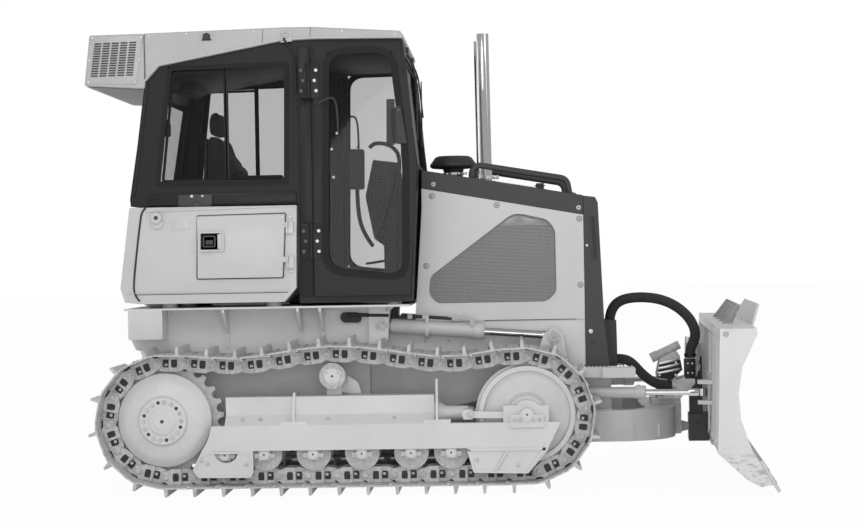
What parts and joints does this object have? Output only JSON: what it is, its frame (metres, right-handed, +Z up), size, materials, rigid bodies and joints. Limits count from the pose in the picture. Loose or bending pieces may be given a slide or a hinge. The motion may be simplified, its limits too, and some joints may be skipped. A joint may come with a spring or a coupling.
{
  "type": "crawler dozer",
  "caption": "Tracked dozer with an enclosed cab, slanting hood, angled blade on a push frame, and doors, lift, angle and tilt that move.",
  "frame": {"origin": "on the ground under the middle of the machine's length and width", "axes": "+X forward to the blade, +Y to the machine's left, +Z up"},
  "size_m": [4.2372, 2.6831, 2.8273],
  "materials": {
    "pale_paint": "gloss paint",
    "dark_paint": "satin paint",
    "black_paint": "satin paint",
    "engine_grey": "matt paint",
    "grille_mesh": "perforated sheet",
    "tinted_glass": "tinted",
    "seat_fabric": "woven",
    "black_plastic": "textured",
    "chrome": "polished",
    "cast_steel": "painted casting",
    "track_steel": "painted, lightly worn",
    "worn_steel": "worn",
    "zinc_plate": "zinc plated",
    "hose_sleeve": "woven nylon sleeve"
  },
  "bodies": {
    "machine": {"main_frame": "pale_paint", "engine_block": "engine_grey", "hood": "dark_paint", "side_panels": "pale_paint", "side_grilles": "grille_mesh", "radiator_guard": "dark_paint", "front_grille": "dark_paint", "cab_frame": "black_paint", "cab_glass": "tinted_glass", "roof": "pale_paint", "roof_housing": "pale_paint", "fenders": "pale_paint", "rear_panel": "pale_paint", "seat": "seat_fabric", "console": "black_plastic", "exhaust_stack": "chrome", "precleaner": "black_plastic", "handrails": "dark_paint", "final_drives": "pale_paint", "sprockets": "cast_steel", "idlers": "pale_paint", "rollers_right": "pale_paint", "rollers_left": "pale_paint", "track_frame_right": "pale_paint", "track_frame_left": "pale_paint", "track_right": "track_steel", "track_left": "track_steel", "upper_hose": "hose_sleeve", "lower_hose": "hose_sleeve"},
    "cab_door_right": {"cab_door_right": "black_paint", "door_glass_right": "tinted_glass"},
    "service_door_right": {"service_door_right": "pale_paint"},
    "lift_barrel_right": {"lift_barrel_right": "pale_paint"},
    "lift_rod_right": {"lift_rod_right": "chrome"},
    "angle_cross_right": {"angle_cross_right": "cast_steel"},
    "angle_barrel_right": {"angle_barrel_right": "pale_paint"},
    "angle_rod_right": {"angle_rod_right": "chrome"},
    "cab_door_left": {"cab_door_left": "black_paint", "door_glass_left": "tinted_glass"},
    "service_door_left": {"service_door_left": "pale_paint"},
    "lift_barrel_left": {"lift_barrel_left": "pale_paint"},
    "lift_rod_left": {"lift_rod_left": "chrome"},
    "angle_cross_left": {"angle_cross_left": "cast_steel"},
    "angle_barrel_left": {"angle_barrel_left": "pale_paint"},
    "angle_rod_left": {"angle_rod_left": "chrome"},
    "push_frame": {"c_frame": "pale_paint", "angle_steps": "pale_paint", "hose_manifold": "zinc_plate"},
    "ball_block": {"ball_block": "dark_paint"},
    "tilt_barrel": {"tilt_barrel": "pale_paint"},
    "tilt_rod": {"tilt_rod": "chrome"},
    "blade": {"blade": "pale_paint", "cutting_edge": "worn_steel"}
  },
  "joints": [
    {"name": "blade_lift", "type": "hinge", "parent": "machine", "child": "push_frame", "pos_m": [-0.3045, 0, 0.345], "axis": [0, -1, 0], "range_deg": [-11, 20], "deforming": ["upper_hose", "lower_hose"]},
    {"name": "blade_angle", "type": "hinge", "parent": "push_frame", "child": "ball_block", "pos_m": [1.6355, 0, 0.29], "axis": [0, 0, 1], "range_deg": [-18.6, 25.4]},
    {"name": "blade_tilt", "type": "hinge", "parent": "ball_block", "child": "blade", "pos_m": [1.6355, 0, 0.29], "axis": [0.9982, -0.0593, 0], "range_deg": [-8, 8]},
    {"name": "lift_swing_right", "type": "hinge", "parent": "machine", "child": "lift_barrel_right", "pos_m": [-0.3415, -0.5, 0.985], "axis": [0, -1, 0], "range_deg": [-11.32, 20.17]},
    {"name": "lift_stroke_right", "type": "slide", "parent": "lift_barrel_right", "child": "lift_rod_right", "axis": [0.9971, 0, -0.0757], "range_m": [-0.2254, 0.1253]},
    {"name": "angle_swing_right", "type": "hinge", "parent": "push_frame", "child": "angle_cross_right", "pos_m": [0.6955, -0.5, 0.552], "axis": [0, 0, 1], "range_deg": [-1.63, 2.12]},
    {"name": "angle_dip_right", "type": "hinge", "parent": "angle_cross_right", "child": "angle_barrel_right", "pos_m": [0.6955, -0.5, 0.552], "axis": [-0.1084, -0.9941, 0], "range_deg": [-5.54, 5.54]},
    {"name": "angle_stroke_right", "type": "slide", "parent": "angle_barrel_right", "child": "angle_rod_right", "axis": [0.9941, -0.1084, 0], "range_m": [-0.1938, 0.2635]},
    {"name": "lift_swing_left", "type": "hinge", "parent": "machine", "child": "lift_barrel_left", "pos_m": [-0.3415, 0.5, 0.985], "axis": [0, -1, 0], "range_deg": [-11.32, 20.17]},
    {"name": "lift_stroke_left", "type": "slide", "parent": "lift_barrel_left", "child": "lift_rod_left", "axis": [0.9971, 0, -0.0757], "range_m": [-0.2254, 0.1253]},
    {"name": "angle_swing_left", "type": "hinge", "parent": "push_frame", "child": "angle_cross_left", "pos_m": [0.6955, 0.5, 0.552], "axis": [0, 0, 1], "range_deg": [-1.1, 1.39]},
    {"name": "angle_dip_left", "type": "hinge", "parent": "angle_cross_left", "child": "angle_barrel_left", "pos_m": [0.6955, 0.5, 0.552], "axis": [0.0999, -0.995, 0], "range_deg": [-5.17, 5.17]},
    {"name": "angle_stroke_left", "type": "slide", "parent": "angle_barrel_left", "child": "angle_rod_left", "axis": [0.995, 0.0999, 0], "range_m": [-0.2648, 0.1947]},
    {"name": "tilt_swing", "type": "hinge", "parent": "ball_block", "child": "tilt_barrel", "pos_m": [1.62074, -0.02918, 0.7], "axis": [0.9982, -0.0593, 0], "range_deg": [-8.84, 8.84]},
    {"name": "tilt_stroke", "type": "slide", "parent": "tilt_barrel", "child": "tilt_rod", "axis": [0.0585, 0.9842, 0.1671], "range_m": [-0.06, 0.06]},
    {"name": "cab_door_swing_right", "type": "hinge", "parent": "machine", "child": "cab_door_right", "pos_m": [-0.7465, -0.752, 1.94], "axis": [0, 0, -1], "range_deg": [0, 100]},
    {"name": "service_door_swing_right", "type": "hinge", "parent": "machine", "child": "service_door_right", "pos_m": [-0.8935, -0.756, 1.49], "axis": [0, 0, 1], "range_deg": [0, 90]},
    {"name": "cab_door_swing_left", "type": "hinge", "parent": "machine", "child": "cab_door_left", "pos_m": [-0.7465, 0.752, 1.94], "axis": [0, 0, 1], "range_deg": [0, 100]},
    {"name": "service_door_swing_left", "type": "hinge", "parent": "machine", "child": "service_door_left", "pos_m": [-0.8935, 0.756, 1.49], "axis": [0, 0, -1], "range_deg": [0, 90]}
  ],
  "couplings": [
    {"joint": "lift_swing_right", "follows": "blade_lift", "ratio": 0.98338},
    {"joint": "lift_stroke_right", "follows": "blade_lift", "m_per_rad": -0.63711},
    {"joint": "angle_swing_right", "follows": "blade_angle", "ratio": 0.071532},
    {"joint": "angle_dip_right", "follows": "blade_tilt", "ratio": -0.65516},
    {"joint": "angle_stroke_right", "follows": "blade_angle", "m_per_rad": 0.58771},
    {"joint": "lift_swing_left", "follows": "blade_lift", "ratio": 0.98338},
    {"joint": "lift_stroke_left", "follows": "blade_lift", "m_per_rad": -0.63711},
    {"joint": "angle_swing_left", "follows": "blade_angle", "ratio": 0.04292},
    {"joint": "angle_dip_left", "follows": "blade_tilt", "ratio": 0.6082},
    {"joint": "angle_stroke_left", "follows": "blade_angle", "m_per_rad": -0.59064},
    {"joint": "tilt_swing", "follows": "blade_tilt", "ratio": 1.0681},
    {"joint": "tilt_stroke", "follows": "blade_tilt", "m_per_rad": -0.40826}
  ]
}
